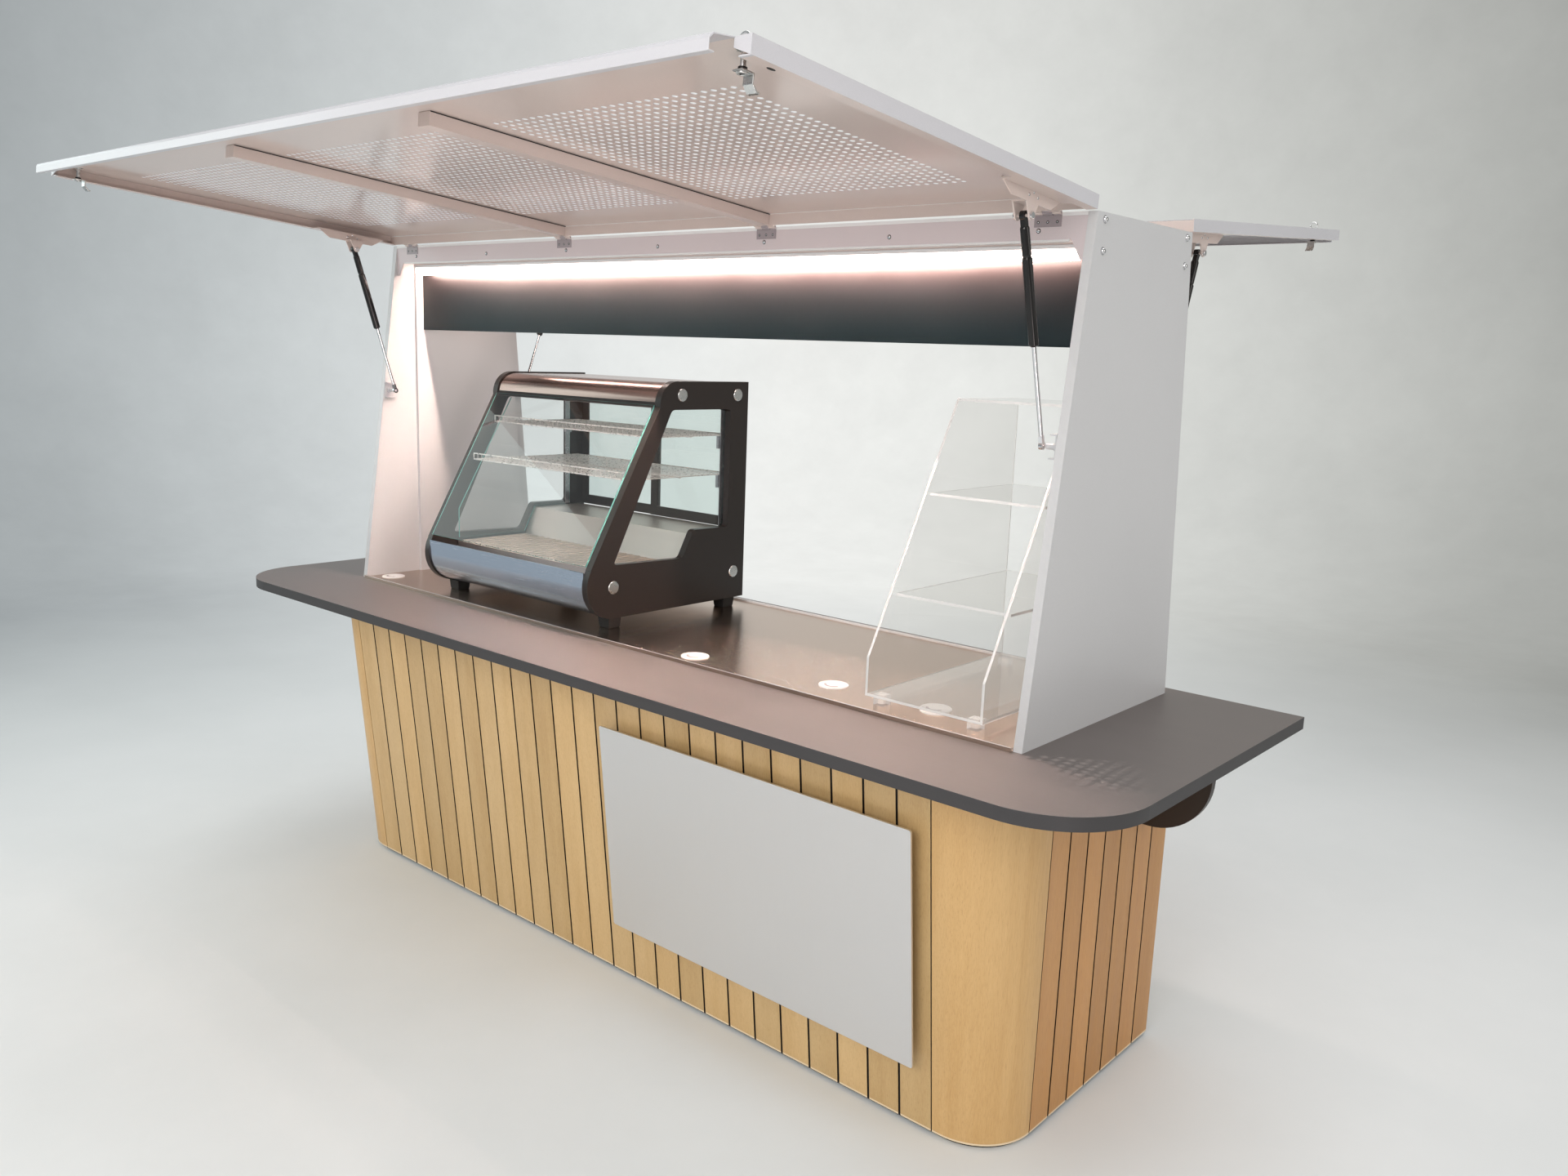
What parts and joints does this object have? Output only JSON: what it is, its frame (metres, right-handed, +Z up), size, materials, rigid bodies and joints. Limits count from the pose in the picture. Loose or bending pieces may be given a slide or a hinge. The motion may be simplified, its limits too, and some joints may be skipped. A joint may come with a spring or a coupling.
{
  "type": "market stall counter with lifting flaps",
  "caption": "Board-clad serving counter with a steel upper frame, front and rear flaps held up by gas struts, a glazed display case and a clear tiered stand.",
  "frame": {"origin": "on the floor under the middle of the base", "axes": "+X to the right seen from the front, -Y towards the customer, +Z up"},
  "size_m": [3.068, 2.4766, 2.0911],
  "materials": {
    "board": "satin",
    "plinth": "matte",
    "bracket": "satin",
    "sign": "satin",
    "top": "satin",
    "steel": "brushed",
    "grommet": "satin",
    "panel": "semi-gloss",
    "flap": "semi-gloss",
    "valance": "satin",
    "light": "matte",
    "zinc": "satin",
    "latch": "satin",
    "strut": "gloss",
    "rod": "polished",
    "case_black": "gloss",
    "case_steel": "brushed",
    "glass": "clear",
    "wire": "polished",
    "fitting": "satin",
    "clear": "clear"
  },
  "bodies": {
    "root": {"plinth": "plinth", "front_cladding": "board", "rear_cladding": "board", "left_cladding": "board", "right_cladding": "board", "left_corner": "board", "right_corner": "board", "overhang_brackets": "bracket", "sign_board": "sign", "countertop": "top", "worktop": "steel", "cable_grommets": "grommet", "left_panel": "panel", "right_panel": "panel", "roof_panel": "panel", "front_header": "panel", "rear_header": "panel", "led_housing": "zinc", "led_diffuser": "light", "valance": "valance", "strut_brackets": "zinc", "front_hinges": "zinc", "rear_hinges": "zinc", "case_left_end": "case_black", "case_right_end": "case_black", "case_floor": "case_steel", "case_lower_front": "case_steel", "case_top_cover": "case_steel", "case_glass": "glass", "case_shelves": "wire", "case_rear_doors": "case_black", "case_fittings": "fitting", "stand_body": "clear", "stand_feet": "clear"},
    "front_flap": {"front_flap_sheet": "flap", "front_flap_frame": "flap", "front_flap_latches": "latch"},
    "rear_flap": {"rear_flap_sheet": "flap", "rear_flap_frame": "flap", "rear_flap_latches": "latch"},
    "front_left_strut_cylinder": {"front_left_cylinder": "strut"},
    "front_left_strut_rod": {"front_left_rod": "rod"},
    "front_right_strut_cylinder": {"front_right_cylinder": "strut"},
    "front_right_strut_rod": {"front_right_rod": "rod"},
    "rear_left_strut_cylinder": {"rear_left_cylinder": "strut"},
    "rear_left_strut_rod": {"rear_left_rod": "rod"},
    "rear_right_strut_cylinder": {"rear_right_cylinder": "strut"},
    "rear_right_strut_rod": {"rear_right_rod": "rod"}
  },
  "joints": [
    {"name": "front_flap_hinge", "type": "hinge", "parent": "root", "child": "front_flap", "pos_m": [0, -0.207, 1.954], "axis": [1, 0, 0], "range_deg": [0, 87.3]},
    {"name": "rear_flap_hinge", "type": "hinge", "parent": "root", "child": "rear_flap", "pos_m": [0, 0.239, 1.954], "axis": [-1, 0, 0], "range_deg": [0, 88.7]},
    {"name": "front_left_cylinder_pivot", "type": "hinge", "parent": "front_flap", "child": "front_left_strut_cylinder", "pos_m": [-1.165, -0.37594, 1.92921], "axis": [1, 0, 0], "range_deg": [-116.49, 0]},
    {"name": "front_left_rod_slide", "type": "slide", "parent": "front_left_strut_cylinder", "child": "front_left_strut_rod", "axis": [0, -0.2915, 0.9566], "range_m": [0, 0.161]},
    {"name": "front_right_cylinder_pivot", "type": "hinge", "parent": "front_flap", "child": "front_right_strut_cylinder", "pos_m": [1.165, -0.37594, 1.92921], "axis": [1, 0, 0], "range_deg": [-116.49, 0]},
    {"name": "front_right_rod_slide", "type": "slide", "parent": "front_right_strut_cylinder", "child": "front_right_strut_rod", "axis": [0, -0.2915, 0.9566], "range_m": [0, 0.161]},
    {"name": "rear_left_cylinder_pivot", "type": "hinge", "parent": "rear_flap", "child": "rear_left_strut_cylinder", "pos_m": [-1.165, 0.40739, 1.92568], "axis": [-1, 0, 0], "range_deg": [-117.86, 0]},
    {"name": "rear_left_rod_slide", "type": "slide", "parent": "rear_left_strut_cylinder", "child": "rear_left_strut_rod", "axis": [0, 0.335, 0.9422], "range_m": [0, 0.1654]},
    {"name": "rear_right_cylinder_pivot", "type": "hinge", "parent": "rear_flap", "child": "rear_right_strut_cylinder", "pos_m": [1.165, 0.40739, 1.92568], "axis": [-1, 0, 0], "range_deg": [-117.86, 0]},
    {"name": "rear_right_rod_slide", "type": "slide", "parent": "rear_right_strut_cylinder", "child": "rear_right_strut_rod", "axis": [0, 0.335, 0.9422], "range_m": [0, 0.1654]}
  ],
  "couplings": [
    {"joint": "front_left_cylinder_pivot", "follows": "front_flap_hinge", "ratio": -1.3229},
    {"joint": "front_left_rod_slide", "follows": "front_flap_hinge", "m_per_rad": 0.10435},
    {"joint": "front_right_cylinder_pivot", "follows": "front_flap_hinge", "ratio": -1.3229},
    {"joint": "front_right_rod_slide", "follows": "front_flap_hinge", "m_per_rad": 0.10435},
    {"joint": "rear_left_cylinder_pivot", "follows": "rear_flap_hinge", "ratio": -1.3175},
    {"joint": "rear_left_rod_slide", "follows": "rear_flap_hinge", "m_per_rad": 0.10554},
    {"joint": "rear_right_cylinder_pivot", "follows": "rear_flap_hinge", "ratio": -1.3175},
    {"joint": "rear_right_rod_slide", "follows": "rear_flap_hinge", "m_per_rad": 0.10554}
  ]
}
